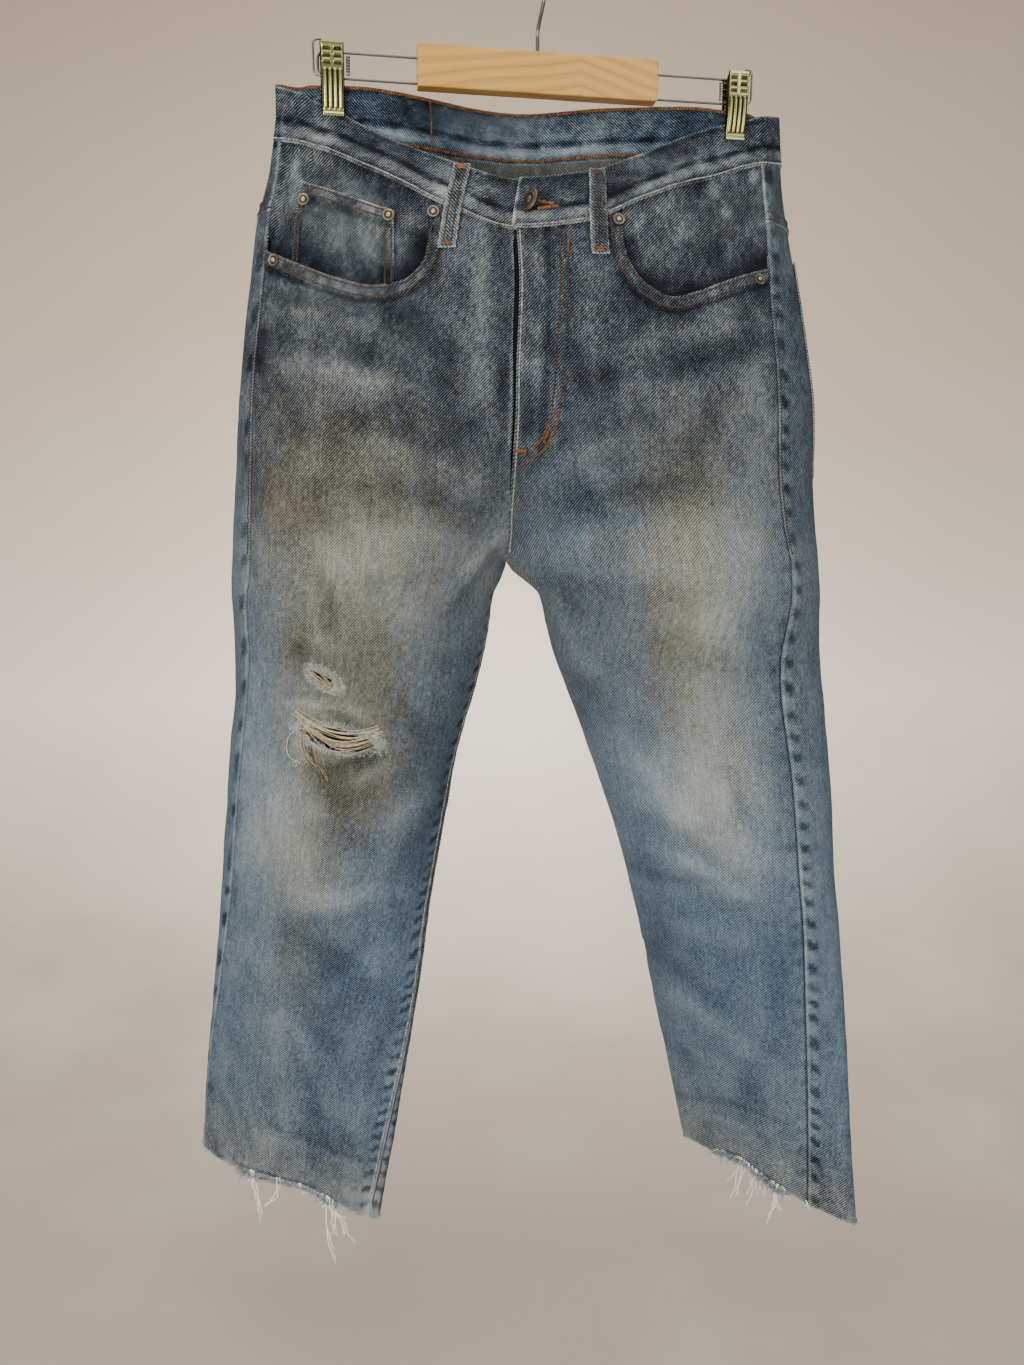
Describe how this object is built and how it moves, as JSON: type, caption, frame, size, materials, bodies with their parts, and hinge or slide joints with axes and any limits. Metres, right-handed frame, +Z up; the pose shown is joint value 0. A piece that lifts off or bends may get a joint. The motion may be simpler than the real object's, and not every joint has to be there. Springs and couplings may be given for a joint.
{
  "type": "jeans on clip hanger",
  "caption": "Faded straight-leg denim jeans with a worn-through thigh and raw frayed hems, clipped by the waistband to a wooden-barred clip hanger.",
  "frame": {"origin": "underside of the hook's crown, where the hook rests on its rail", "axes": "+Z up; -Y out of the garment's front; +X towards the wearer's left, along the rail"},
  "size_m": [0.5946, 0.1588, 1.0526],
  "materials": {
    "denim_outer": "faded indigo twill",
    "denim_band": "faded indigo twill, two layers",
    "denim_facing": "less faded indigo twill",
    "cotton_fringe": "frayed undyed cotton",
    "rivet_copper": "worn copper plating",
    "button_metal": "antique copper plating",
    "pine": "clear satin lacquer",
    "steel_wire": "drawn wire",
    "clip_plate": "yellow passivated plate"
  },
  "bodies": {
    "root": {"front_panel_right": "denim_outer", "front_panel_left": "denim_outer", "back_panel_right": "denim_outer", "back_panel_left": "denim_outer", "yoke_right": "denim_outer", "yoke_left": "denim_outer", "back_pocket_right": "denim_outer", "back_pocket_left": "denim_outer", "waistband": "denim_band", "belt_loop_front_right": "denim_band", "belt_loop_front_left": "denim_band", "belt_loop_back_right": "denim_band", "belt_loop_back_left": "denim_band", "belt_loop_centre_back": "denim_band", "pocket_facing_right": "denim_facing", "pocket_facing_left": "denim_facing", "coin_pocket": "denim_facing", "fly_underlay": "denim_facing", "hem_fringe_right": "cotton_fringe", "hem_fringe_left": "cotton_fringe", "waist_button": "button_metal", "rivet_pocket_right_inner": "rivet_copper", "rivet_pocket_right_outer": "rivet_copper", "rivet_pocket_left_inner": "rivet_copper", "rivet_pocket_left_outer": "rivet_copper", "rivet_coin_outer": "rivet_copper", "rivet_coin_inner": "rivet_copper", "hanger_bar": "pine", "hanger_hook": "steel_wire", "hanger_wire_right": "steel_wire", "hanger_wire_left": "steel_wire", "clip_right_front": "clip_plate", "clip_right_back": "clip_plate", "clip_right_block": "clip_plate", "clip_left_front": "clip_plate", "clip_left_back": "clip_plate", "clip_left_block": "clip_plate"}
  },
  "joints": []
}
